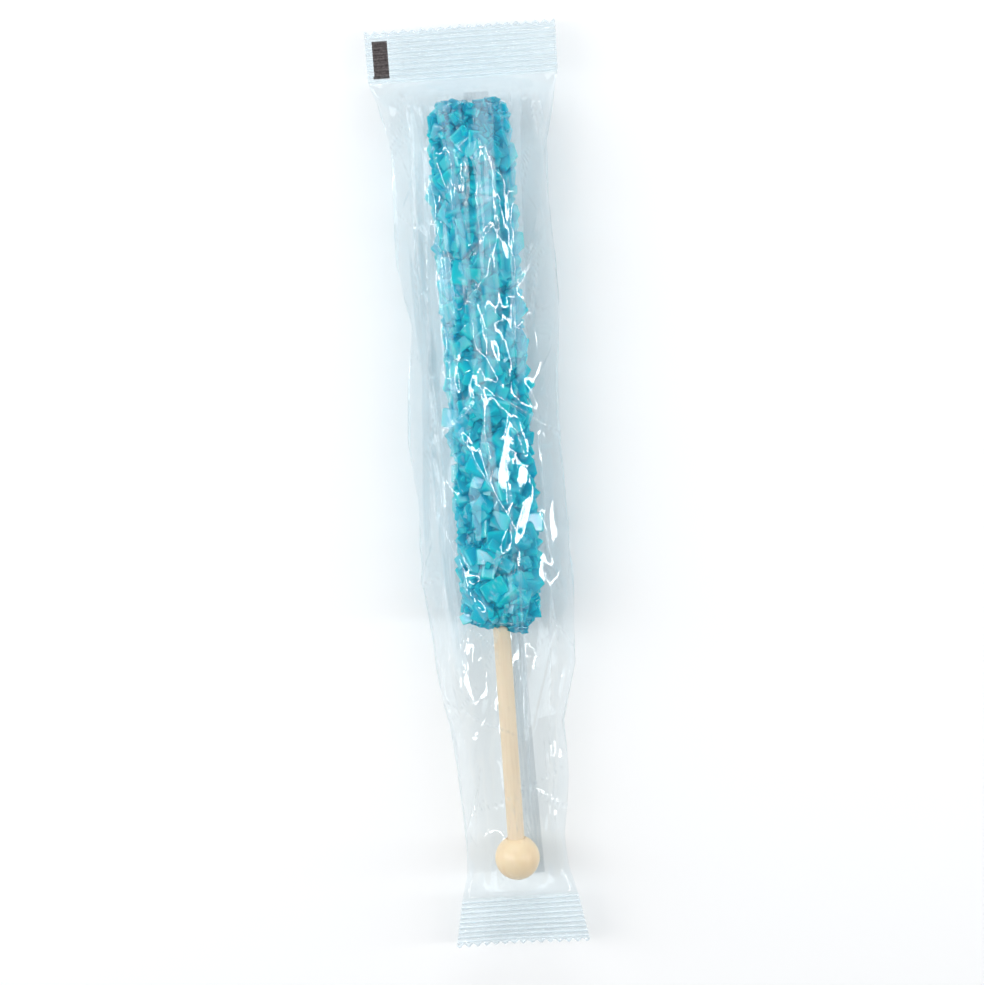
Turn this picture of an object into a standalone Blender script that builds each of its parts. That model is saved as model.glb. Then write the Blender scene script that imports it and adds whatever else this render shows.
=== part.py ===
"""Rock candy stick in its clear flow-wrap film, lying down.

A wooden dowel with a turned ball on one end carries a crust of sugar crystals, and a sleeve of clear film
with a crimped, saw-cut seal at each end shuts all of it in. The stick lies along Y, ball towards -Y, and
rests on the flattened underside of the film at z = 0. Units are metres.
"""

import math
import random

import bmesh
import bpy
from mathutils import Matrix, Vector

MM = 0.001

# Wood
BALL_D = 9.3 * MM
DOWEL_D = 3.5 * MM
NECK = 43.5 * MM  # bare dowel between the ball and the sugar
SOCKET_DEPTH = 5.5 * MM  # how far the dowel goes into the ball

# Sugar
CANDY_LENGTH = 108.0 * MM
CANDY_REACH = 8.9 * MM  # the furthest that a crystal stands from the stick's axis
CORE_DEPTH = 3.4 * MM  # how far the core lies under the crystals' tips
TIP_DOME = 10.0 * MM  # length of the rounded far end
ROOT_DOME = 5.0 * MM  # length of the rounded end round the dowel
DOWEL_STOP = 11.0 * MM  # sugar beyond the dowel's far end
CRYSTALS = 190
CRYSTAL_SIZES = (3.6 * MM, 6.0 * MM)
OBLIQUE = math.radians(13.0)  # sugar's crystals lean: their faces meet at 103 degrees
SEED = 22

# Film
WALL = 0.45 * MM
FLAT_WIDTH = 40.0 * MM  # the empty sleeve pressed flat
SEAL_LENGTH = 11.0 * MM
SEAL_HALF = 0.65 * MM  # half the thickness of a seal
SLACK = 0.6 * MM  # how far the film stands off above the sugar; it is pressed flat below
TEETH = 17
TOOTH_DEPTH = 0.9 * MM
PLEATS = (11, 17, 24)  # where the folds run along the top, counted in half teeth from +X
PLEAT_HEIGHT = 0.6 * MM

# Clearance that the meshes keep where pieces touch
GAP = 0.3 * MM

# Places that follow from the sizes
STICK_LENGTH = BALL_D + NECK + CANDY_LENGTH
END_ROOM = 3.5 * MM  # slack film between the stick and each seal's root
LENGTH = STICK_LENGTH + 2 * (END_ROOM + SEAL_LENGTH)
AXIS_Z = WALL + GAP + CANDY_REACH
BALL_Y = -LENGTH / 2 + SEAL_LENGTH + END_ROOM + BALL_D / 2
CANDY_START = BALL_Y + BALL_D / 2 + NECK
CANDY_END = CANDY_START + CANDY_LENGTH

SUGAR_BLUE = (0.01, 0.42, 0.58)
PALE_WOOD = (0.86, 0.67, 0.43)
CLEAR_FILM = (0.88, 0.93, 0.95)


def clear_scene():
    for old in list(bpy.data.objects):
        bpy.data.objects.remove(old)


def material(name, colour, roughness, alpha=1.0):
    made = bpy.data.materials.new(name)
    made.use_nodes = True
    shader = made.node_tree.nodes["Principled BSDF"]
    shader.inputs["Base Color"].default_value = (*colour, 1.0)
    shader.inputs["Roughness"].default_value = roughness
    shader.inputs["Metallic"].default_value = 0.0
    shader.inputs["Alpha"].default_value = alpha
    return made


def add_object(name, mesh_maker, finish=None):
    """A mesh object whose faces mesh_maker puts into an empty bmesh."""
    shape = bmesh.new()
    mesh_maker(shape)
    bmesh.ops.recalc_face_normals(shape, faces=shape.faces)
    mesh = bpy.data.meshes.new(name)
    shape.to_mesh(mesh)
    shape.free()
    made = bpy.data.objects.new(name, mesh)
    bpy.context.scene.collection.objects.link(made)
    if finish:
        mesh.materials.append(finish)
    return made


def make_cutter(made):
    made.hide_render = True
    made.display_type = "WIRE"
    return made


def boolean(target, operation, **operand):
    cut = target.modifiers.new(operation.title(), "BOOLEAN")
    cut.operation = operation
    for key, value in operand.items():
        setattr(cut, key, value)


def along_y(profile, segments):
    """A maker of the solid that a profile of (radius, y) points sweeps round the Y axis. Its ends lie on it."""

    def maker(shape):
        points = [shape.verts.new((radius, y, 0.0)) for radius, y in profile]
        edges = [shape.edges.new(pair) for pair in zip(points, points[1:])]
        bmesh.ops.spin(shape, geom=points + edges, axis=(0, 1, 0), cent=(0, 0, 0), steps=segments,
                       angle=2 * math.pi, use_duplicate=False)
        bmesh.ops.remove_doubles(shape, verts=shape.verts, dist=0.001 * MM)

    return maker


def rod(name, radius, start, end, segments, finish=None):
    made = add_object(name, along_y([(0, start), (radius, start), (radius, end), (0, end)], segments), finish)
    made.location.z = AXIS_Z
    return made


# ---- Wood: the dowel and its ball ----


def build_ball(finish):
    """The ball with a flat turned at the socket's mouth, which is a little wider than the dowel."""
    radius = BALL_D / 2
    mouth = DOWEL_D / 2 + 3 * GAP
    lip = math.asin(mouth / radius)
    steps = 12
    profile = []
    for step in range(steps + 1):
        turn = -math.pi / 2 + (math.pi - lip) * step / steps
        profile.append((radius * math.cos(turn), BALL_Y + radius * math.sin(turn)))
    profile[0] = (0.0, BALL_Y - radius)
    profile.append((0.0, profile[-1][1]))
    ball = add_object("ball", along_y(profile, 24), finish)
    ball.location.z = AXIS_Z
    top = BALL_Y + radius
    socket = rod("ball_socket", DOWEL_D / 2 + GAP, top - SOCKET_DEPTH - GAP, top + SOCKET_DEPTH, 20)
    boolean(ball, "DIFFERENCE", object=make_cutter(socket))
    ball.data.shade_smooth()
    ball.data.set_sharp_from_angle(angle=math.radians(35))
    return ball


def build_dowel(finish):
    start = BALL_Y + BALL_D / 2 - SOCKET_DEPTH
    dowel = rod("dowel", DOWEL_D / 2, start, CANDY_END - DOWEL_STOP, 20, finish)
    dowel.data.shade_smooth()
    dowel.data.set_sharp_from_angle(angle=math.radians(35))
    return dowel


# ---- Sugar: a rounded core with crystals growing out of it in a spiral ----


def crust(y):
    """Radius of the crust's outline at y, and how far its surface faces along Y there, from -1 to 1."""
    to_root = (y - CANDY_START) / ROOT_DOME
    to_tip = (CANDY_END - y) / TIP_DOME
    if to_tip < 1:
        lean = 1 - max(to_tip, 0.0)
    elif to_root < 1:
        lean = max(to_root, 0.0) - 1
    else:
        lean = 0.0
    return CANDY_REACH * math.sqrt(1 - lean * lean), lean


def core_profile():
    """The core's outline, set back from the crust all along, as (radius, y) points from end to end."""
    deep_start = CANDY_START + 0.5 * CORE_DEPTH
    deep_end = CANDY_END - CORE_DEPTH
    shrink = 1 - CORE_DEPTH / CANDY_REACH
    steps = 5
    shares = [0.5 - 0.5 * math.cos(math.pi / 2 * step / steps) for step in range(steps + 1)]
    root = [deep_start + 2 * share * ROOT_DOME for share in shares]
    tip = [deep_end - 2 * share * TIP_DOME for share in reversed(shares)]
    outline = []
    for y in root + tip:
        from_crust = CANDY_START + (y - deep_start) * CANDY_LENGTH / (deep_end - deep_start)
        outline.append((shrink * crust(from_crust)[0], y))
    outline[0] = (0.0, deep_start)
    outline[-1] = (0.0, deep_end)
    return outline


def crystal_maker(size, place):
    """One oblique block of sugar, a little longer than wide."""
    lean = Matrix.Identity(4)
    lean[0][2] = math.tan(OBLIQUE)
    blocky = Matrix.Diagonal((size[0], size[1], size[2], 1.0))

    def maker(shape):
        bmesh.ops.create_cube(shape, size=1.0, matrix=place @ lean @ blocky)

    return maker


def keep_outer_skin(target):
    """Apply the joins and drop the small pockets that are shut in between the crystals."""
    bpy.context.view_layer.update()
    joined = bpy.data.meshes.new_from_object(target.evaluated_get(bpy.context.evaluated_depsgraph_get()))
    shape = bmesh.new()
    shape.from_mesh(joined)
    unseen = set(shape.verts)
    skins = []
    while unseen:
        skin = [unseen.pop()]
        for vertex in skin:
            for edge in vertex.link_edges:
                other = edge.other_vert(vertex)
                if other in unseen:
                    unseen.remove(other)
                    skin.append(other)
        skins.append(skin)
    skins.sort(key=len)
    for pocket in skins[:-1]:
        bmesh.ops.delete(shape, geom=pocket, context="VERTS")
    shape.to_mesh(joined)
    shape.free()
    target.modifiers.clear()
    target.data = joined


def build_candy(finish):
    rng = random.Random(SEED)
    candy = add_object("candy", along_y(core_profile(), 14), finish)
    crystals = bpy.data.collections.new("crystals")
    bpy.context.scene.collection.children.link(crystals)
    golden = math.pi * (3 - math.sqrt(5))
    for index in range(CRYSTALS):
        width = rng.uniform(*CRYSTAL_SIZES)
        size = Vector((width, width * rng.uniform(0.75, 1.1), width * rng.uniform(1.0, 1.35)))
        axis = Vector((rng.gauss(0, 1), rng.gauss(0, 1), rng.gauss(0, 1))).normalized()
        turn = Matrix.Rotation(rng.uniform(0, 2 * math.pi), 4, axis)
        y = CANDY_START + (index + 0.5) / CRYSTALS * CANDY_LENGTH
        reach, lean = crust(y)
        around = index * golden + rng.uniform(-0.25, 0.25)
        radial = Vector((math.sin(around), 0.0, math.cos(around)))
        outward = radial * math.sqrt(1 - lean * lean) + Vector((0.0, lean, 0.0))
        far = max((turn @ Vector((sx * size.x, sy * size.y, sz * size.z)) / 2).dot(outward)
                  for sx in (-1, 1) for sy in (-1, 1) for sz in (-1, 1))
        surface = radial * reach + Vector((0.0, y, 0.0))
        depth = 1.05 * far + CANDY_REACH * rng.uniform(0.04, 0.16)
        place = Matrix.Translation(surface - outward * depth) @ turn
        block = add_object(f"crystal_{index}", crystal_maker(size, place))
        bpy.context.scene.collection.objects.unlink(block)
        crystals.objects.link(make_cutter(block))
    boolean(candy, "UNION", operand_type="COLLECTION", collection=crystals)
    keep_outer_skin(candy)
    for block in list(crystals.objects):
        bpy.data.objects.remove(block)
    candy.location.z = AXIS_Z
    bore = rod("candy_bore", DOWEL_D / 2 + GAP, CANDY_START - CANDY_REACH,
               CANDY_END - DOWEL_STOP + GAP, 20)
    boolean(candy, "DIFFERENCE", object=make_cutter(bore))
    return candy


# ---- Film: a sleeve that swells round the sugar and is pinched flat at both ends ----


def film_stations():
    """(y, half width, half height) of the sleeve from the ball's seal to the far seal."""
    ball_end = -LENGTH / 2
    full = FLAT_WIDTH / 2
    swell = CANDY_REACH + GAP + WALL + SLACK
    snug = BALL_D / 2 + GAP + WALL + SLACK
    return [
        (ball_end, 0.70 * full, SEAL_HALF),
        (ball_end + SEAL_LENGTH, 0.60 * full, SEAL_HALF),
        (BALL_Y - 0.30 * BALL_D, 0.50 * full, 0.86 * snug),
        (BALL_Y + 0.45 * BALL_D, 0.50 * full, snug),
        (BALL_Y + 0.55 * NECK, 0.62 * full, 0.95 * snug),
        (CANDY_START + 1.0 * MM, 0.76 * full, 0.90 * swell),
        (CANDY_START + 10 * MM, 0.79 * full, swell),
        (CANDY_START + 0.5 * CANDY_LENGTH, 0.77 * full, swell),
        (CANDY_END - 10 * MM, 0.79 * full, swell),
        (CANDY_END - 1.0 * MM, 0.85 * full, 0.80 * swell),
        (-ball_end - SEAL_LENGTH, 0.95 * full, SEAL_HALF),
        (-ball_end, 0.96 * full, SEAL_HALF),
    ]


def film_ring(y, half_width, half_height, inset, teeth):
    """The sleeve's outline at y: over the top from +X to -X, and back underneath, where it lies flat on z = 0."""
    across = 2 * TEETH
    ring = []
    for index in range(2 * across):
        over = index < across
        share = 1 - 2 * index / across if over else 2 * index / across - 3
        rise = (half_height - inset) * (1 - abs(share) ** 2.2) ** 0.62
        pleated = over and inset == 0 and index in PLEATS and half_height > 2 * SEAL_HALF
        pleat = PLEAT_HEIGHT if pleated else 0.0
        x = (half_width - 2.5 * inset) * share
        z = AXIS_Z + rise + pleat if over else max(AXIS_Z - rise, inset)
        saw = TOOTH_DEPTH * (index % 2) * math.copysign(1, -y) if teeth else 0.0
        ring.append(Vector((x, y + saw, z)))
    return ring


def build_wrapper(finish):
    """Outer and inner skins. The ball's seal keeps a slit between its two films, so the hollow isn't shut."""
    stations = film_stations()
    slit = SEAL_HALF - 0.5 * GAP

    def maker(shape):
        outer = [film_ring(*station, 0.0, station is stations[0] or station is stations[-1])
                 for station in stations]
        inner = [film_ring(*station, slit if station[2] == SEAL_HALF else WALL, station is stations[0])
                 for station in stations[:-1]]
        inner[0] = film_ring(*stations[0], slit, True)
        skins = [[[shape.verts.new(point) for point in ring] for ring in skin] for skin in (outer, inner)]
        for skin in skins:
            for low, high in zip(skin, skin[1:]):
                count = len(low)
                for index in range(count):
                    after = (index + 1) % count
                    shape.faces.new((low[index], low[after], high[after], high[index]))
            last = skin[-1]
            half = len(last) // 2
            for index in range(half):
                under = [(len(last) - index) % len(last), len(last) - index - 1]
                corners = [last[index], last[index + 1], last[under[1]], last[under[0]]]
                shape.faces.new(list(dict.fromkeys(corners)))
        mouth_out, mouth_in = skins[0][0], skins[1][0]
        count = len(mouth_out)
        for index in range(count):
            after = (index + 1) % count
            shape.faces.new((mouth_out[index], mouth_in[index], mouth_in[after], mouth_out[after]))

    wrapper = add_object("wrapper", maker, finish)
    wrapper.data.shade_smooth()
    wrapper.data.set_sharp_from_angle(angle=math.radians(30))
    return wrapper


def build():
    clear_scene()
    wood = material("pale_wood", PALE_WOOD, 0.55)
    build_ball(wood)
    build_dowel(wood)
    build_candy(material("blue_sugar", SUGAR_BLUE, 0.18))
    build_wrapper(material("clear_film", CLEAR_FILM, 0.08, alpha=0.25))


build()
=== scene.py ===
import math

import bmesh
import bpy
import numpy as np
from mathutils import Matrix, Vector
from mathutils.bvhtree import BVHTree


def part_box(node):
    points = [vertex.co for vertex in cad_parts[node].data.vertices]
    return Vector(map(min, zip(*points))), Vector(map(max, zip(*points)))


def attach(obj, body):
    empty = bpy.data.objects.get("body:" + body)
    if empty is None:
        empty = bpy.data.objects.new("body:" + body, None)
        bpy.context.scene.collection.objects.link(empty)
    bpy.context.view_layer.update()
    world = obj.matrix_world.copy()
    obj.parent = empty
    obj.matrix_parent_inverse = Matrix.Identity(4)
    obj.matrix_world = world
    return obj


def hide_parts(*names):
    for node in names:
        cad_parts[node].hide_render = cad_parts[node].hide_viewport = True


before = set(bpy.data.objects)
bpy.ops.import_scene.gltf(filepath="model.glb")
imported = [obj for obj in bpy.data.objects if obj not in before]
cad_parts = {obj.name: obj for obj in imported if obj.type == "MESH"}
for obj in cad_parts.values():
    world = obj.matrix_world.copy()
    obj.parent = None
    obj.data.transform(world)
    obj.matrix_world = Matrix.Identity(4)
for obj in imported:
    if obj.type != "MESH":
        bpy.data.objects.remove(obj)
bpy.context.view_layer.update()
MM = 0.001


# ---- Sugar ----
# The crust is cane sugar that grew out of a blue syrup: oblique blocks of many sizes, grown into each other
# on a solid core. Big crystals start on the core, and each smaller batch grows on the ones before it.

candy_low, candy_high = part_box("candy")
candy_centre = (candy_low + candy_high) / 2
axis_z = (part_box("ball")[0].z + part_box("ball")[1].z) / 2
CORE_RADIUS = 6.2 * MM
CORE_INSET = 1.6 * MM
FULL_RADIUS = 7.9 * MM
OBLIQUE = math.radians(13.0)
DROP_HEIGHT = 12.0 * MM
LOWEST_TIP = 0.45 * MM
END_PRESSED = 2.0 * MM  # the last stretch at each end, where the crystals grew shorter
END_KEPT = 0.45
SPACING = 1.75  # between the middles of one batch, in crystal sizes, so that none touch
# For each batch: largest crystal in mm, share of that for the smallest, and how deep it is sunk as a share of
# its size. The big ones start on the core, and the rest fill in where the crust is still thin.
CORE_BATCHES = [(5.4, 0.72, 0.06), (5.0, 0.72, 0.05), (5.2, 0.70, 0.04), (4.8, 0.70, 0.04), (5.0, 0.70, 0.03),
                (4.6, 0.70, 0.03), (4.4, 0.70, 0.0), (4.2, 0.70, 0.0)]
FILL_BATCHES = [(3.8, 0.65, 0.26), (3.6, 0.65, 0.26), (3.4, 0.65, 0.26), (3.2, 0.65, 0.26), (3.0, 0.65, 0.26),
                (2.7, 0.6, 0.26), (2.5, 0.6, 0.26), (2.3, 0.6, 0.26), (2.1, 0.6, 0.26), (1.9, 0.6, 0.24),
                (1.7, 0.6, 0.22), (1.5, 0.6, 0.20)]


def crystal_block():
    """One sugar crystal of unit size: an oblique block with bevelled edges."""
    shape = bmesh.new()
    bmesh.ops.create_cube(shape, size=1.0)
    bmesh.ops.bevel(shape, geom=list(shape.edges), offset=0.07, segments=1, affect="EDGES", profile=0.5)
    lean = Matrix.Identity(4)
    lean[0][2] = math.tan(OBLIQUE)
    bmesh.ops.transform(shape, matrix=lean @ Matrix.Diagonal((0.92, 0.8, 1.12, 1.0)), verts=shape.verts)
    mesh = bpy.data.meshes.new("crystal_block")
    shape.to_mesh(mesh)
    shape.free()
    block = bpy.data.objects.new("crystal_block", mesh)
    bpy.context.scene.collection.objects.link(block)
    return block


def turned_piece(name, outline, sides, centre_x=0.0):
    """A solid turned round the stick's axis, from (radius, y) points whose first and last lie on the axis."""
    turns = [2 * math.pi * side / sides for side in range(sides)]
    points = [(centre_x, outline[0][1], axis_z)]
    for radius, y in outline[1:-1]:
        for turn in turns:
            points.append((centre_x + radius * math.cos(turn), y, axis_z + radius * math.sin(turn)))
    points.append((centre_x, outline[-1][1], axis_z))
    last, rings = len(points) - 1, len(outline) - 2
    faces = []
    for side in range(sides):
        here = [1 + ring * sides + side for ring in range(rings)]
        beside = [1 + ring * sides + (side + 1) % sides for ring in range(rings)]
        faces.append((0, here[0], beside[0]))
        faces += zip(here, here[1:], beside[1:], beside)
        faces.append((last, beside[-1], here[-1]))
    mesh = bpy.data.meshes.new(name)
    mesh.from_pydata(points, [], faces)
    mesh.update()
    made = bpy.data.objects.new(name, mesh)
    bpy.context.scene.collection.objects.link(made)
    return made


def candy_core():
    """The solid middle of the crust: a round bar with a blunt root and a bullet-shaped tip."""
    start = candy_low.y + 0.5 * CORE_INSET
    end = candy_high.y - CORE_INSET
    root, tip = 4.0 * MM, 9.0 * MM
    steps, sides = 10, 28
    outline = [(0.0, start)]
    for step in range(1, steps + 1):
        turn = math.pi / 2 * step / steps
        outline.append((CORE_RADIUS * math.sin(turn), start + root * (1 - math.cos(turn))))
    for step in range(steps, 0, -1):
        turn = math.pi / 2 * step / steps
        outline.append((CORE_RADIUS * math.sin(turn), end - tip * (1 - math.cos(turn))))
    outline.append((0.0, end))
    return turned_piece("candy_crystals", outline, sides, candy_centre.x)


def distance_from_axis(tree, place):
    """How far a place lies from the candy's axis, in a geometry or a shader tree."""
    flat = tree.nodes.new("ShaderNodeVectorMath")
    flat.operation = "MULTIPLY_ADD"
    flat.inputs[1].default_value = (1.0, 0.0, 1.0)
    flat.inputs[2].default_value = (-candy_centre.x, 0.0, -axis_z)
    tree.links.new(place, flat.inputs[0])
    length = tree.nodes.new("ShaderNodeVectorMath")
    length.operation = "LENGTH"
    tree.links.new(flat.outputs[0], length.inputs[0])
    return length.outputs["Value"]


def crust_tree(block):
    """Geometry Nodes: stand the big crystals on the core, drop the rest on the crust so far, unite all."""
    tree = bpy.data.node_groups.new("sugar crust", "GeometryNodeTree")
    tree.interface.new_socket("Geometry", in_out="INPUT", socket_type="NodeSocketGeometry")
    growth = tree.interface.new_socket("Growth", in_out="INPUT", socket_type="NodeSocketFloat")
    growth.default_value = 1.0
    finish = tree.interface.new_socket("Sugar", in_out="INPUT", socket_type="NodeSocketMaterial")
    tree.interface.new_socket("Geometry", in_out="OUTPUT", socket_type="NodeSocketGeometry")
    nodes, links = tree.nodes, tree.links
    inputs, outputs = nodes.new("NodeGroupInput"), nodes.new("NodeGroupOutput")
    source = nodes.new("GeometryNodeObjectInfo")
    source.inputs["Object"].default_value = block
    source.inputs["As Instance"].default_value = True
    place = nodes.new("GeometryNodeInputPosition")
    from_axis = distance_from_axis(tree, place.outputs[0])
    surface = inputs.outputs["Geometry"]
    for order, (largest, least, sink) in enumerate(CORE_BATCHES + FILL_BATCHES):
        on_core = order < len(CORE_BATCHES)
        seed = 11 * order + 3
        largest *= MM
        spread = nodes.new("GeometryNodeDistributePointsOnFaces")
        spread.distribute_method = "POISSON"
        spread.inputs["Distance Min"].default_value = SPACING * largest
        spread.inputs["Density Max"].default_value = 1e6
        spread.inputs["Seed"].default_value = seed
        links.new(inputs.outputs["Geometry"], spread.inputs["Mesh"])
        inward = nodes.new("ShaderNodeVectorMath")
        inward.operation = "SCALE"
        inward.inputs["Scale"].default_value = -sink * largest
        links.new(spread.outputs["Normal"], inward.inputs[0])
        sunk = nodes.new("GeometryNodeSetPosition")
        links.new(spread.outputs["Points"], sunk.inputs["Geometry"])
        links.new(inward.outputs[0], sunk.inputs["Offset"])
        size = nodes.new("FunctionNodeRandomValue")
        size.data_type = "FLOAT"
        size.inputs[2].default_value = least * largest
        size.inputs[3].default_value = largest
        size.inputs["Seed"].default_value = seed + 1
        grown = nodes.new("ShaderNodeMath")
        grown.operation = "MULTIPLY"
        links.new(size.outputs[1], grown.inputs[0])
        links.new(inputs.outputs[growth.name], grown.inputs[1])
        turn = nodes.new("FunctionNodeRandomValue")
        turn.data_type = "FLOAT_VECTOR"
        turn.inputs[1].default_value = (2 * math.pi,) * 3
        turn.inputs["Seed"].default_value = seed + 2
        placed = nodes.new("GeometryNodeInstanceOnPoints")
        if not on_core:
            # Dropped from outside onto the crust so far, and kept where that is still thin.
            above = nodes.new("ShaderNodeVectorMath")
            above.operation = "MULTIPLY_ADD"
            above.inputs[1].default_value = (DROP_HEIGHT,) * 3
            links.new(spread.outputs["Normal"], above.inputs[0])
            links.new(place.outputs[0], above.inputs[2])
            down = nodes.new("ShaderNodeVectorMath")
            down.operation = "SCALE"
            down.inputs["Scale"].default_value = -1.0
            links.new(spread.outputs["Normal"], down.inputs[0])
            drop = nodes.new("GeometryNodeRaycast")
            drop.inputs["Ray Length"].default_value = 2 * DROP_HEIGHT
            links.new(surface, drop.inputs["Target Geometry"])
            links.new(above.outputs[0], drop.inputs["Source Position"])
            links.new(down.outputs[0], drop.inputs["Ray Direction"])
            links.new(drop.outputs["Hit Position"], sunk.inputs["Position"])
            thin = nodes.new("FunctionNodeCompare")
            thin.operation = "LESS_THAN"
            thin.inputs["B"].default_value = FULL_RADIUS - sink * largest
            links.new(from_axis, thin.inputs["A"])
            links.new(thin.outputs[0], placed.inputs["Selection"])
        links.new(sunk.outputs[0], placed.inputs["Points"])
        links.new(source.outputs["Geometry"], placed.inputs["Instance"])
        links.new(turn.outputs[0], placed.inputs["Rotation"])
        links.new(grown.outputs[0], placed.inputs["Scale"])
        tone = nodes.new("FunctionNodeRandomValue")
        tone.data_type = "FLOAT"
        tone.inputs["Seed"].default_value = seed + 3
        marked = nodes.new("GeometryNodeStoreNamedAttribute")
        marked.domain = "INSTANCE"
        marked.inputs["Name"].default_value = "tone"
        links.new(placed.outputs[0], marked.inputs["Geometry"])
        links.new(tone.outputs[1], marked.inputs["Value"])
        real = nodes.new("GeometryNodeRealizeInstances")
        links.new(marked.outputs[0], real.inputs[0])
        union = nodes.new("GeometryNodeMeshBoolean")
        union.operation = "UNION"
        union.solver = "MANIFOLD"
        links.new(surface, union.inputs[1])
        links.new(real.outputs[0], union.inputs[1])
        surface = union.outputs[0]
    coloured = nodes.new("GeometryNodeSetMaterial")
    links.new(surface, coloured.inputs["Geometry"])
    links.new(inputs.outputs[finish.name], coloured.inputs["Material"])
    links.new(coloured.outputs[0], outputs.inputs[0])
    return tree, finish.identifier


def new_material(name):
    """A new material, its node tree and its Principled shader."""
    made = bpy.data.materials.new(name)
    made.use_nodes = True
    tree = made.node_tree
    return made, tree, tree.nodes["Principled BSDF"]


def noise(tree, scale, detail=2.0, stretch=(1.0, 1.0, 1.0)):
    """Noise on Object coordinates, in features per metre, stretched along any axis."""
    where = tree.nodes.new("ShaderNodeTexCoord")
    turned = tree.nodes.new("ShaderNodeMapping")
    turned.inputs["Scale"].default_value = stretch
    texture = tree.nodes.new("ShaderNodeTexNoise")
    texture.inputs["Scale"].default_value = scale
    texture.inputs["Detail"].default_value = detail
    tree.links.new(where.outputs["Object"], turned.inputs["Vector"])
    tree.links.new(turned.outputs[0], texture.inputs["Vector"])
    return texture.outputs["Fac"]


def ramp(tree, value, stops):
    """A colour ramp over value, with (place, colour) stops."""
    made = tree.nodes.new("ShaderNodeValToRGB")
    for index, (place, colour) in enumerate(stops):
        stop = made.color_ramp.elements[index] if index < 2 else made.color_ramp.elements.new(place)
        stop.position = place
        stop.color = (*colour, 1.0)
    tree.links.new(value, made.inputs["Fac"])
    return made.outputs["Color"]


def attribute(tree, name):
    made = tree.nodes.new("ShaderNodeAttribute")
    made.attribute_name = name
    return made.outputs["Fac"]


def calculate(tree, operation, first, second):
    """A Math node whose inputs are sockets or plain numbers."""
    made = tree.nodes.new("ShaderNodeMath")
    made.operation = operation
    for socket, value in zip(made.inputs, (first, second)):
        if isinstance(value, (int, float)):
            socket.default_value = value
        else:
            tree.links.new(value, socket)
    return made.outputs[0]


def bump(tree, shader, height, distance):
    made = tree.nodes.new("ShaderNodeBump")
    made.inputs["Distance"].default_value = distance
    tree.links.new(height, made.inputs["Height"])
    tree.links.new(made.outputs[0], shader.inputs["Normal"])


def sugar_material():
    """Clear blue crystal, each crystal a little apart in tone, with painted shade that makes it deeper near
    the stick and painted light that makes it paler at the tips.
    """
    made, tree, shader = new_material("blue sugar")
    where = tree.nodes.new("ShaderNodeTexCoord")
    from_axis = distance_from_axis(tree, where.outputs["Object"])
    proud = calculate(tree, "SUBTRACT", from_axis, FULL_RADIUS)
    each = calculate(tree, "MULTIPLY", attribute(tree, "tone"), 0.55)
    drift = calculate(tree, "MULTIPLY", noise(tree, 90.0), 0.5)
    # Painted light and shade: paler the further a place stands out from the axis, and deeper in towards the
    # core.
    tip_light_core_shade = calculate(tree, "MULTIPLY", proud, 110.0)
    paleness = calculate(tree, "ADD", calculate(tree, "ADD", each, drift), tip_light_core_shade)
    deep, middling, pale = (0.0, 0.48, 0.68), (0.0, 0.76, 0.96), (0.01, 0.92, 1.0)
    colour = ramp(tree, paleness, [(0.05, deep), (0.95, pale), (0.45, middling)])
    tree.links.new(colour, shader.inputs["Base Color"])
    frost = noise(tree, 1400.0, detail=3.0)
    shader.inputs["Roughness"].default_value = 0.12
    bump(tree, shader, frost, 0.02 * MM)
    shader.inputs["IOR"].default_value = 1.54
    shader.inputs["Transmission Weight"].default_value = 0.42
    shader.inputs["Subsurface Weight"].default_value = 0.8
    shader.inputs["Subsurface Radius"].default_value = (0.25, 0.9, 1.0)
    shader.inputs["Subsurface Scale"].default_value = 2.0 * MM
    return made


def keep_outer_skin(mesh):
    """Drop the shut pockets left between crystals, and press in both ends and the tips it rests on."""
    shape = bmesh.new()
    shape.from_mesh(mesh)
    reached = {max(shape.verts, key=lambda vert: vert.co.z)}
    waiting = list(reached)
    while waiting:
        for edge in waiting.pop().link_edges:
            for vert in edge.verts:
                if vert not in reached:
                    reached.add(vert)
                    waiting.append(vert)
    bmesh.ops.delete(shape, geom=[vert for vert in shape.verts if vert not in reached], context="VERTS")
    root, tip = candy_low.y + END_PRESSED, candy_high.y - END_PRESSED
    for vert in shape.verts:
        inside = min(max(vert.co.y, root), tip)
        vert.co.y = inside + END_KEPT * (vert.co.y - inside)
        vert.co.z = max(vert.co.z, LOWEST_TIP)
    shape.to_mesh(mesh)
    shape.free()


block = crystal_block()
candy = candy_core()
sugar = sugar_material()
grow, sugar_socket = crust_tree(block)
growing = candy.modifiers.new("crust", "NODES")
growing.node_group = grow
growing[sugar_socket] = sugar
bpy.context.view_layer.update()
crust = bpy.data.meshes.new_from_object(candy.evaluated_get(bpy.context.evaluated_depsgraph_get()))
candy.modifiers.remove(growing)
keep_outer_skin(crust)
candy.data = crust
bpy.data.objects.remove(block)
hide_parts("candy")
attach(candy, "root")


# ---- Wood ----
# A birch dowel and a ball turned from the same wood, sanded smooth and left unvarnished.
# The dowel is glued into the ball's socket, and the joint shows as a thin dark line.

ball_low, ball_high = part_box("ball")
dowel_low, dowel_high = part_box("dowel")
ball_radius = (ball_high.x - ball_low.x) / 2
dowel_radius = (dowel_high.x - dowel_low.x) / 2
ball_y = ball_low.y + ball_radius


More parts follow.
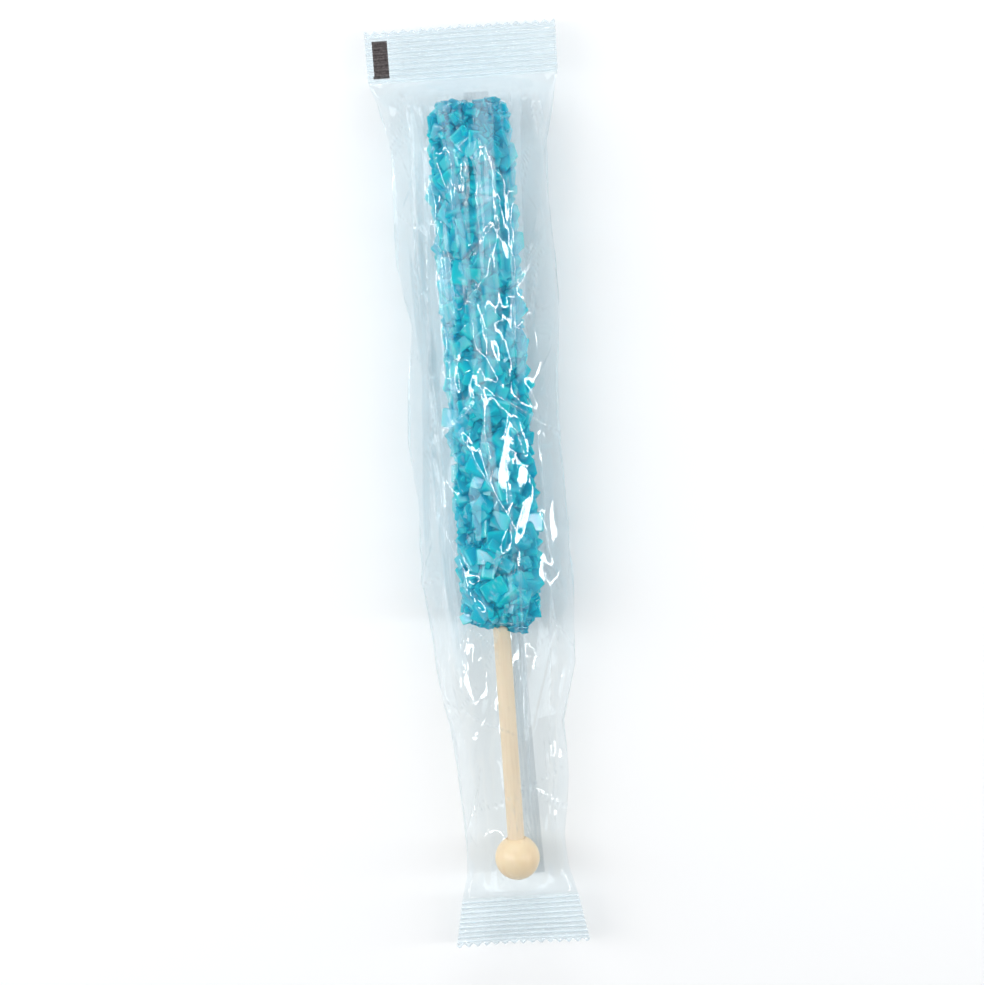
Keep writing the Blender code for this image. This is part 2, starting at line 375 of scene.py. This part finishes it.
def grain_group():
    """Wood grain as a shader group: long fibres along Y, with the wood's colours and how strong they are."""
    tree = bpy.data.node_groups.new("birch grain", "ShaderNodeTree")
    for name, kind in (("Fibre Scale", "NodeSocketFloat"), ("Strength", "NodeSocketFloat"),
                       ("Paleness", "NodeSocketFloat")):
        tree.interface.new_socket(name, in_out="INPUT", socket_type=kind)
    tree.interface.new_socket("Color", in_out="OUTPUT", socket_type="NodeSocketColor")
    tree.interface.new_socket("Height", in_out="OUTPUT", socket_type="NodeSocketFloat")
    inputs, outputs = tree.nodes.new("NodeGroupInput"), tree.nodes.new("NodeGroupOutput")
    where = tree.nodes.new("ShaderNodeTexCoord")
    stretched = tree.nodes.new("ShaderNodeMapping")
    stretched.inputs["Scale"].default_value = (1.0, 0.045, 1.0)
    fibres = tree.nodes.new("ShaderNodeTexNoise")
    fibres.inputs["Detail"].default_value = 4.0
    tree.links.new(where.outputs["Object"], stretched.inputs["Vector"])
    tree.links.new(stretched.outputs[0], fibres.inputs["Vector"])
    tree.links.new(inputs.outputs["Fibre Scale"], fibres.inputs["Scale"])
    rings = noise(tree, 260.0, detail=1.0, stretch=(1.0, 0.12, 1.0))
    swing = calculate(tree, "MULTIPLY", calculate(tree, "SUBTRACT", fibres.outputs["Fac"], 0.5),
                      inputs.outputs["Strength"])
    bands = calculate(tree, "ADD", calculate(tree, "MULTIPLY", rings, 0.5), 0.25)
    height = calculate(tree, "ADD", swing, bands)
    late, middling, early = (0.78, 0.56, 0.34), (0.93, 0.71, 0.46), (0.97, 0.79, 0.55)
    colour = ramp(tree, height, [(0.2, late), (0.8, early), (0.45, middling)])
    pale = tree.nodes.new("ShaderNodeMix")
    pale.data_type = "RGBA"
    mix = {socket.identifier: socket for socket in list(pale.inputs) + list(pale.outputs)}
    mix["B_Color"].default_value = (0.80, 0.67, 0.52, 1.0)
    tree.links.new(inputs.outputs["Paleness"], mix["Factor_Float"])
    tree.links.new(colour, mix["A_Color"])
    tree.links.new(mix["Result_Color"], outputs.inputs["Color"])
    tree.links.new(height, outputs.inputs["Height"])
    return tree


def wood_material(name, fibre_scale, strength, paleness, roughness):
    made, tree, shader = new_material(name)
    grain = tree.nodes.new("ShaderNodeGroup")
    grain.node_tree = birch
    grain.inputs["Fibre Scale"].default_value = fibre_scale
    grain.inputs["Strength"].default_value = strength
    grain.inputs["Paleness"].default_value = paleness
    tree.links.new(grain.outputs["Color"], shader.inputs["Base Color"])
    bump(tree, shader, grain.outputs["Height"], 0.06 * MM)
    shader.inputs["Roughness"].default_value = roughness
    shader.inputs["Subsurface Weight"].default_value = 0.12
    shader.inputs["Subsurface Radius"].default_value = (1.0, 0.6, 0.3)
    shader.inputs["Subsurface Scale"].default_value = 0.8 * MM
    return made


birch = grain_group()
MOUTH, THROAT, SOCKET = 1.18, 1.06, 1.03  # the socket's radii, in dowel radii
LIP_DEPTH, SOCKET_DEPTH, GLUE = 0.12 * MM, 1.0 * MM, 0.05 * MM
BALL_STEPS = 32
lip = math.asin(MOUTH * dowel_radius / ball_radius)
ball_outline = [(0.0, ball_y - ball_radius)]
for step in range(1, BALL_STEPS + 1):
    turn = -math.pi / 2 + (math.pi - lip) * step / BALL_STEPS
    ball_outline.append((ball_radius * math.cos(turn), ball_y + ball_radius * math.sin(turn)))
ball_top = ball_outline[-1][1]
ball_outline += [(THROAT * dowel_radius, ball_top - LIP_DEPTH),
                 (SOCKET * dowel_radius, ball_top - SOCKET_DEPTH),
                 (0.0, ball_top - SOCKET_DEPTH)]
ball = turned_piece("turned_ball", ball_outline, 64)
ball.data.materials.append(wood_material("turned birch", 1500.0, 0.28, 0.0, 0.34))
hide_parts("ball")
dowel_foot, dowel_bevel = ball_top - SOCKET_DEPTH + GLUE, 0.3 * MM
dowel_outline = [(0.0, dowel_foot), (dowel_radius, dowel_foot), (dowel_radius, dowel_high.y - dowel_bevel),
                 (dowel_radius - dowel_bevel, dowel_high.y), (0.0, dowel_high.y)]
dowel = turned_piece("birch_dowel", dowel_outline, 40)
dowel.data.materials.append(wood_material("dowel birch", 2200.0, 0.9, 0.6, 0.5))
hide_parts("dowel")
for piece in (ball, dowel):
    piece.data.shade_smooth()
    piece.data.set_sharp_from_angle(angle=math.radians(40))
    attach(piece, "root")


# ---- Film ----
# A sleeve of clear polypropylene film, formed round the stick and crimped shut at both ends by ribbed jaws.
# It is wider than the stick, so the spare film lies in long pleats and is creased where it was handled.

wrap_low, wrap_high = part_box("wrapper")
SEAL = 11.0 * MM
RIB_PITCH = 1.1 * MM
RIB_HEIGHT = 0.24 * MM
TOOTH_PITCH = 1.9 * MM
TOOTH_DEPTH = 0.9 * MM
FILM_GAP = 0.05 * MM
FILM_LOWEST = 0.22 * MM
CLEARANCE = 0.25 * MM
ACROSS = 200  # points round the sleeve, the first half of them over the stick
SEAL_RINGS = 80
BODY_RINGS = 280
PLEATS, PLEATS_ABOVE = 20, 14
CREASES, CREASES_ABOVE = 110, 75
BUCKLES, BUCKLES_ABOVE = 42, 30
FACET_WAVES = 5
TENT_STEPS = 70
FILM_INDEX = 1.5
rng = np.random.default_rng(41)
half_ring = ACROSS // 2
seal_root_low, seal_root_high = wrap_low.y + SEAL, wrap_high.y - SEAL
flat_half = (wrap_high.x - wrap_low.x) / 2 / 0.96
swell = wrap_high.z - axis_z - 0.6 * MM
snug = ball_radius + 1.35 * MM

# Half the sleeve's width and half its height at stations along it.
stations = np.array([
    (wrap_low.y, 0.70 * flat_half, FILM_GAP),
    (seal_root_low, 0.60 * flat_half, FILM_GAP),
    (ball_y - 0.6 * ball_radius, 0.52 * flat_half, 0.80 * snug),
    (ball_y + 0.9 * ball_radius, 0.50 * flat_half, snug),
    (ball_y + 24 * MM, 0.60 * flat_half, 0.92 * snug),
    (candy_low.y + 1 * MM, 0.74 * flat_half, 0.88 * swell),
    (candy_low.y + 10 * MM, 0.79 * flat_half, swell),
    (candy_centre.y, 0.77 * flat_half, swell),
    (candy_high.y - 10 * MM, 0.80 * flat_half, swell),
    (candy_high.y - 1 * MM, 0.86 * flat_half, 0.78 * swell),
    (seal_root_high, 0.95 * flat_half, FILM_GAP),
    (wrap_high.y, 0.96 * flat_half, FILM_GAP),
])
ring_y = np.concatenate([
    np.linspace(wrap_low.y, seal_root_low, SEAL_RINGS, endpoint=False),
    np.linspace(seal_root_low, seal_root_high, BODY_RINGS, endpoint=False),
    np.linspace(seal_root_high, wrap_high.y, SEAL_RINGS + 1),
])


def along_sleeve(column):
    """A station column read at every ring, eased so that the sleeve has no corners between stations."""
    fine = np.linspace(wrap_low.y, wrap_high.y, 800)
    plain = np.interp(fine, stations[:, 0], stations[:, column])
    kernel = np.hanning(21)
    padded = np.pad(plain, len(kernel) // 2, mode="edge")
    eased = np.convolve(padded, kernel / kernel.sum(), mode="valid")
    return np.interp(ring_y, fine, eased)[:, None]


def window(value, start, end, fade):
    """1 between start and end, easing to 0 over fade on both sides."""
    up = np.clip((value - start) / fade, 0.0, 1.0)
    down = np.clip((end - value) / fade, 0.0, 1.0)
    return up * up * (3 - 2 * up) * down * down * (3 - 2 * down)


def zigzag(value):
    """A triangle wave between -1 and 1, with one full swing for each whole number."""
    return 2 * np.abs(2 * (value - np.floor(value + 0.5))) - 1


half_width, half_height = along_sleeve(1), along_sleeve(2)
share = np.cos(np.pi * np.arange(ACROSS) / half_ring)
over = np.where(np.arange(ACROSS) < half_ring, 1.0, -1.0)
Y = ring_y[:, None] * np.ones(ACROSS)
body = window(ring_y, seal_root_low, seal_root_high, 7 * MM)[:, None]
in_seal = (Y < seal_root_low) | (Y > seal_root_high)
rib_wave = np.sin(2 * np.pi * (Y - wrap_low.y) / RIB_PITCH)

# The two side edges run in short straight lengths, bent a little in and out of true.
EDGE_BENDS = 17
OUT_OF_TRUE = 0.75 * MM
bend_y = np.linspace(wrap_low.y, wrap_high.y, EDGE_BENDS)
right_edge = np.interp(ring_y, bend_y, rng.normal(0.0, OUT_OF_TRUE, EDGE_BENDS))[:, None]
left_edge = np.interp(ring_y, bend_y, rng.normal(0.0, OUT_OF_TRUE, EDGE_BENDS))[:, None]
wander = body * (right_edge * np.clip(share, 0, 1) + left_edge * np.clip(-share, 0, 1))
X = half_width * share + wander
rise = half_height * (1 - np.abs(share) ** 2.2) ** 0.62
lift = np.zeros_like(X)
fold = np.zeros_like(X)

# Long pleats: sharp-backed ridges that drift a little across the sleeve as they run along it. Where one is
# pressed over, three layers of film lie on each other in a band beside the ridge.
for index in range(PLEATS):
    side = 1.0 if index < PLEATS_ABOVE else -1.0
    middle = rng.uniform(-0.9, 0.9) * 0.75 * flat_half
    drift = rng.normal(0.0, 0.035)
    reach = rng.uniform(16, 55) * MM
    centre_y = rng.uniform(seal_root_low + 8 * MM, seal_root_high - 6 * MM)
    bend = rng.uniform(-1.0, 1.0) * MM
    line = middle + drift * (Y - centre_y) + bend * np.sin((Y - centre_y) / (0.55 * reach))
    away = X - line * half_width / (0.78 * flat_half)
    steep, gentle = rng.uniform(0.22, 0.4) * MM, rng.uniform(1.0, 2.6) * MM
    way = rng.choice([-1.0, 1.0])
    ridge = np.exp(-np.abs(away) / np.where(away * way > 0, steep, gentle))
    strength = window(Y, centre_y - reach, centre_y + reach, 0.45 * reach) * (over == side)
    lift += rng.uniform(0.5, 1.35) * MM * ridge * strength
    band = rng.uniform(1.0, 2.4) * MM * (0.55 + 0.45 * strength)
    milky = rng.uniform(0.55, 1.0) * np.clip((strength - 0.3) * 4, 0, 1)
    inside = np.clip(-away * way / (0.1 * MM), 0, 1) * np.clip((band + away * way) / (0.12 * MM), 0, 1)
    if index % 2 == 0:
        fold = np.maximum(fold, milky * inside)

# Gathers at the roots of both seals, where the round sleeve is pressed flat.
for root, way, pitch in ((seal_root_low, 1.0, 2.6 * MM), (seal_root_high, -1.0, 4.1 * MM)):
    inward = np.clip((Y - root) * way, 0.0, None)
    near = np.exp(-inward / (9 * MM)) * (1 - np.exp(-inward / (2 * MM)))
    lift += 0.75 * MM * near * zigzag(X * (1 + 0.02 * np.sin(Y / (3 * MM))) / pitch + 0.3 * over)

# Handling creases: short straight ridges and furrows that cross the pleats at all angles.
for index in range(CREASES):
    side = 1.0 if index < CREASES_ABOVE else -1.0
    centre_x = rng.uniform(-0.8, 0.8) * flat_half
    centre_y = rng.uniform(wrap_low.y + 8 * MM, wrap_high.y - 8 * MM)
    angle = rng.normal(0.0, 0.30) if index % 3 else rng.uniform(-1.2, 1.2)
    along = (Y - centre_y) * math.cos(angle) + (X - centre_x) * math.sin(angle)
    away = (X - centre_x) * math.cos(angle) - (Y - centre_y) * math.sin(angle)
    reach = rng.uniform(4.0, 18.0) * MM
    width = rng.uniform(0.35, 1.1) * MM
    height = rng.uniform(0.15, 0.55) * MM * rng.choice([-1.0, 1.0])
    strength = window(along, -reach, reach, 0.6 * reach) * (over == side)
    lift += height * strength * np.exp(-np.abs(away) / width)

# Buckles: film can't stretch, so where it is pushed in it bends into a sharp point with two flat sides.
for index in range(BUCKLES):
    side = 1.0 if index < BUCKLES_ABOVE else -1.0
    tip_x = rng.uniform(-0.75, 0.75) * flat_half
    tip_y = rng.uniform(seal_root_low + 6 * MM, seal_root_high - 6 * MM)
    angle = rng.normal(0.0, 0.35) + rng.choice([0.0, math.pi])
    along = (Y - tip_y) * math.cos(angle) + (X - tip_x) * math.sin(angle)
    away = (X - tip_x) * math.cos(angle) - (Y - tip_y) * math.sin(angle)
    reach = rng.uniform(6.0, 17.0) * MM
    slope = math.tan(rng.uniform(0.12, 0.32))
    height = rng.uniform(0.5, 1.1) * MM * rng.choice([-1.0, 1.0, 1.0])
    strength = window(along, -reach, 1.6 * reach, 0.6 * reach) * (over == side)
    flanks = np.clip(1 - np.abs(away) / (slope * np.maximum(along, 0.1 * MM)), 0, 1)
    lift += height * strength * flanks * np.clip(along / reach, 0, 1)

# Flat facets: film bends in straight lines, so a sum of slanted triangle waves leaves it in planes.
for _ in range(FACET_WAVES):
    angle = rng.normal(0.0, 0.2)
    pitch = rng.uniform(7.0, 17.0) * MM
    phase = rng.uniform(0.0, 1.0)
    lift += 0.03 * pitch * zigzag((X * math.cos(angle) + Y * math.sin(angle)) / pitch + phase + 0.37 * over)

# Over the ball the film is drawn tight, and its creases are pulled out.
slack = body * (1 - 0.8 * np.exp(-((Y - ball_y) / (7 * MM)) ** 2))
lift *= slack
fold *= slack
edge_room = np.clip((1 - np.abs(share)) / 0.12, 0.0, 1.0)
Z = axis_z + over * (rise + lift * (0.35 + 0.65 * edge_room))
X = X + 0.5 * lift * share * (1 - edge_room)

# The film can't pass through the sugar: it is pushed out over the crystals' tips, and stands like a stiff
# tent between them.
FAR = 16 * MM
crust_points = [vert.co.copy() for vert in crust.vertices]
skin = BVHTree.FromPolygons(crust_points, [tuple(face.vertices) for face in crust.polygons])
radius = np.maximum(np.hypot(X, Z - axis_z), 0.1 * MM)
need = np.zeros_like(radius)
sugar_start = min(point.y for point in crust_points) - 1 * MM
sugar_end = max(point.y for point in crust_points) + 1 * MM
for row, y in enumerate(ring_y):
    if not sugar_start < y < sugar_end:
        continue
    for column in range(ACROSS):
        out = Vector((X[row, column], 0.0, Z[row, column] - axis_z)).normalized()
        hit = skin.ray_cast(Vector((0.0, y, axis_z)) + out * FAR, -out, FAR)
        if hit[0] is not None:
            need[row, column] = FAR - hit[3] + CLEARANCE
wide = need.copy()
for row in range(-2, 3):
    for column in range(-2, 3):
        wide = np.maximum(wide, np.roll(need, (row, column), (0, 1)))
pushed = np.maximum(wide - radius, 0.0)
tent = pushed.copy()
for _ in range(TENT_STEPS):
    beside = (np.roll(tent, 1, 1) + np.roll(tent, -1, 1)) / 2
    along = (np.roll(tent, 1, 0) + np.roll(tent, -1, 0)) / 2
    tent = np.maximum(pushed, 0.42 * beside + 0.58 * along)
widened = 1 + tent / radius
X = X * widened
Z = np.maximum(axis_z + (Z - axis_z) * widened, FILM_LOWEST)

# The crimp: both films share one set of ribs, and the seals sag and wave a little as they hang free.
outward = np.clip(np.maximum(seal_root_low - Y, Y - seal_root_high) / SEAL, 0.0, 1.0)
sag = outward ** 1.5
ribbed = np.clip(outward * 12, 0, 1) * np.clip((1 - outward) * 14, 0, 1)
Z += RIB_HEIGHT * ribbed * rib_wave
Z += sag * (0.9 * MM * np.sin(3.1 * X / flat_half + 0.8 * np.sign(Y)) - 1.6 * MM)
at_cut = np.clip((outward - 0.88) / 0.12, 0.0, 1.0)
Y = Y - np.sign(Y) * TOOTH_DEPTH * at_cut * (0.5 + 0.5 * zigzag(X / TOOTH_PITCH))


def sleeve_mesh():
    """The film as one closed tube: rings joined along the sleeve, and both layers joined at each cut."""
    rings = len(ring_y)
    first = (np.arange(rings - 1)[:, None] * ACROSS + np.arange(ACROSS)).ravel()
    second = (np.arange(rings - 1)[:, None] * ACROSS + (np.arange(ACROSS) + 1) % ACROSS).ravel()
    faces = np.stack([first, first + ACROSS, second + ACROSS, second], axis=-1).tolist()
    for ring in (0, rings - 1):
        for column in range(half_ring):
            around = (column, column + 1, ACROSS - column - 1, (ACROSS - column) % ACROSS)
            corners = list(dict.fromkeys(ring * ACROSS + place for place in around))
            faces.append(corners[::-1] if ring else corners)
    mesh = bpy.data.meshes.new("film_sleeve")
    mesh.from_pydata(np.stack([X, Y, Z], axis=-1).reshape(-1, 3).tolist(), [], faces)
    mesh.update()
    mesh.shade_smooth()
    around = [np.roll(lift, step, axis) for step in (1, -1) for axis in (0, 1)]
    crease = np.clip((np.abs(lift - sum(around) / 4) - 0.035 * MM) / (0.07 * MM), 0.0, 1.0)
    # The crimp is milky all over, and whiter on each rib's crest as a painted highlight.
    for name, values in (("crease", crease), ("fold", fold), ("seal", in_seal * (0.6 + 0.4 * rib_wave))):
        layer = mesh.attributes.new(name, "FLOAT", "POINT")
        layer.data.foreach_set("value", values.astype(np.float32).ravel())
    return mesh


def film_material(name, through, haze_base):
    """Clear film: see-through, mirror-like at a slant, and milky at its folds, creases and seals, with a
    painted highlight on the crest of each crimp rib.
    """
    made, tree, shader = new_material(name)
    haze = calculate(tree, "MULTIPLY", attribute(tree, "fold"), 0.26)
    haze = calculate(tree, "MAXIMUM", haze, calculate(tree, "MULTIPLY", attribute(tree, "crease"), 0.20))
    # Milky crimp, with a painted highlight on each rib's crest.
    haze = calculate(tree, "MAXIMUM", haze, calculate(tree, "MULTIPLY", attribute(tree, "seal"), 0.30))
    haze = calculate(tree, "ADD", haze, haze_base)
    shader.inputs["Base Color"].default_value = (0.72, 0.86, 0.93, 1.0)
    shader.inputs["Roughness"].default_value = 0.3
    mirror = tree.nodes.new("ShaderNodeBsdfAnisotropic")
    mirror.inputs["Color"].default_value = (1.0, 1.0, 1.0, 1.0)
    mirror.inputs["Roughness"].default_value = 0.05
    clear = tree.nodes.new("ShaderNodeBsdfTransparent")
    clear.inputs["Color"].default_value = (*through, 1.0)
    slant = tree.nodes.new("ShaderNodeFresnel")
    inner = tree.nodes.new("ShaderNodeNewGeometry").outputs["Backfacing"]
    into_less_out = FILM_INDEX - 1 / FILM_INDEX
    index = calculate(tree, "SUBTRACT", FILM_INDEX, calculate(tree, "MULTIPLY", inner, into_less_out))
    tree.links.new(index, slant.inputs["IOR"])
    shine = tree.nodes.new("ShaderNodeMixShader")
    tree.links.new(slant.outputs[0], shine.inputs[0])
    tree.links.new(clear.outputs[0], shine.inputs[1])
    tree.links.new(mirror.outputs[0], shine.inputs[2])
    both = tree.nodes.new("ShaderNodeMixShader")
    tree.links.new(haze, both.inputs[0])
    tree.links.new(shine.outputs[0], both.inputs[1])
    tree.links.new(shader.outputs[0], both.inputs[2])
    tree.links.new(both.outputs[0], tree.nodes["Material Output"].inputs["Surface"])
    return made


def ink_material():
    """Dark brown print, worn thin in fine specks."""
    made, tree, shader = new_material("print ink")
    solid, thin = (0.045, 0.038, 0.038), (0.16, 0.14, 0.14)
    worn = ramp(tree, noise(tree, 2600.0, detail=3.0), [(0.35, solid), (0.75, thin)])
    tree.links.new(worn, shader.inputs["Base Color"])
    shader.inputs["Roughness"].default_value = 0.35
    return made


film = bpy.data.objects.new("film_sleeve", sleeve_mesh())
bpy.context.scene.collection.objects.link(film)
film.data.materials.append(film_material("clear film", (0.945, 0.968, 0.977), 0.008))
film.data.materials.append(ink_material())

# The press leaves a plain dark register bar at one corner of each cut length.
BAR_WIDTH, BAR_LENGTH, BAR_INSET, BAR_FROM_CUT = 3.0 * MM, 7.5 * MM, 1.4 * MM, 2.2 * MM
bar_left = wrap_low.x + BAR_INSET
bar_far = wrap_high.y - BAR_FROM_CUT
for face in film.data.polygons:
    over_stick = face.vertices[0] % ACROSS < half_ring
    across = bar_left < face.center.x < bar_left + BAR_WIDTH
    if over_stick and across and bar_far - BAR_LENGTH < face.center.y < bar_far:
        face.material_index = 1
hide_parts("wrapper")
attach(film, "root")


def back_seam():
    """The lengthwise seam: both edges of the film welded into a ribbed fin and pressed flat underneath."""
    left, width, thick, low = 0.2 * MM, 5.0 * MM, 0.07 * MM, 0.08 * MM
    columns, rows = 24, 300
    shape = bmesh.new()
    grid = []
    for row in range(rows + 1):
        y = seal_root_low + 2 * MM + (seal_root_high - seal_root_low - 4 * MM) * row / rows
        wander = 0.5 * MM * math.sin(y / (21 * MM))
        line = []
        for column in range(columns + 1):
            ripple = 0.03 * MM * math.sin(2 * math.pi * column / 4)
            line.append(shape.verts.new((left + width * column / columns + wander, y, low + ripple)))
        grid.append(line)
    for near, far in zip(grid, grid[1:]):
        for column in range(columns):
            shape.faces.new((near[column], near[column + 1], far[column + 1], far[column]))
    bmesh.ops.recalc_face_normals(shape, faces=shape.faces)
    bmesh.ops.solidify(shape, geom=list(shape.faces), thickness=thick)
    mesh = bpy.data.meshes.new("back_seam")
    shape.to_mesh(mesh)
    shape.free()
    mesh.shade_smooth()
    mesh.set_sharp_from_angle(angle=math.radians(40))
    made = bpy.data.objects.new("back_seam", mesh)
    bpy.context.scene.collection.objects.link(made)
    return made


seam = back_seam()
seam.data.materials.append(film_material("welded film", (0.985, 0.99, 0.993), 0.03))
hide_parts("wrapper")
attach(seam, "root")


# ---- Floor, lights and camera ----
# The wrapped stick lies on a pale sweep under soft studio light, and the camera looks down on it.

def floor_piece():
    half = 0.7
    mesh = bpy.data.meshes.new("floor")
    corners = [(-half, -half, 0), (half, -half, 0), (half, half, 0), (-half, half, 0)]
    mesh.from_pydata(corners, [], [(0, 1, 2, 3)])
    made, tree, shader = new_material("pale floor")
    shader.inputs["Base Color"].default_value = (0.93, 0.935, 0.94, 1.0)
    shader.inputs["Roughness"].default_value = 0.9
    mesh.materials.append(made)
    floor = bpy.data.objects.new("floor", mesh)
    bpy.context.scene.collection.objects.link(floor)


def softbox(name, place, size, power, aim=(0.0, 0.0, 0.01)):
    lamp = bpy.data.lights.new(name, "AREA")
    lamp.shape = "RECTANGLE"
    lamp.size, lamp.size_y = size
    lamp.energy = power
    made = bpy.data.objects.new(name, lamp)
    made.location = place
    made.rotation_euler = (Vector(aim) - Vector(place)).to_track_quat("-Z", "Y").to_euler()
    bpy.context.scene.collection.objects.link(made)


def studio_walls():
    """White walls all round and a darker ceiling, so that film lying flat stays clear."""
    world = bpy.data.worlds.new("studio")
    bpy.context.scene.world = world
    world.use_nodes = True
    tree = world.node_tree
    way = tree.nodes.new("ShaderNodeTexCoord")
    height = tree.nodes.new("ShaderNodeSeparateXYZ")
    tree.links.new(way.outputs["Generated"], height.inputs[0])
    shade = ramp(tree, height.outputs["Z"], [(0.05, (0.92, 0.94, 0.96)), (0.75, (0.13, 0.135, 0.14))])
    tree.links.new(shade, tree.nodes["Background"].inputs["Color"])
    tree.nodes["Background"].inputs["Strength"].default_value = 0.85


floor_piece()
softbox("left softbox", (-0.50, 0.10, 0.42), (0.30, 0.70), 2.1)
softbox("left strip", (-0.30, 0.05, 0.50), (0.02, 0.55), 0.9)
softbox("right strip", (0.46, -0.05, 0.34), (0.025, 0.60), 1.2)
softbox("near strip", (0.17, 0.0, 0.52), (0.012, 0.30), 0.4)
softbox("back softbox", (0.05, 0.60, 0.40), (0.60, 0.25), 1.4)
studio_walls()
bpy.context.scene.view_settings.view_transform = "Standard"

LENS = 85.0
SENSOR = 36.0
VIEW_HEIGHT = 0.203
tilt = math.radians(6.0)
lean = math.radians(-4.0)
target = Vector((0.0, 0.0, 0.5 * axis_z))
back = Vector((0.0, math.sin(tilt), math.cos(tilt)))
lens = bpy.data.cameras.new("camera")
lens.lens = LENS
lens.sensor_width = SENSOR
camera = bpy.data.objects.new("camera", lens)
camera.location = target + back * (VIEW_HEIGHT * LENS / SENSOR)
upright = Matrix((Vector((1, 0, 0)), back.cross(Vector((1, 0, 0))), back)).transposed()
camera.rotation_euler = (upright @ Matrix.Rotation(lean, 3, "Z")).to_euler()
bpy.context.scene.collection.objects.link(camera)
bpy.context.scene.camera = camera
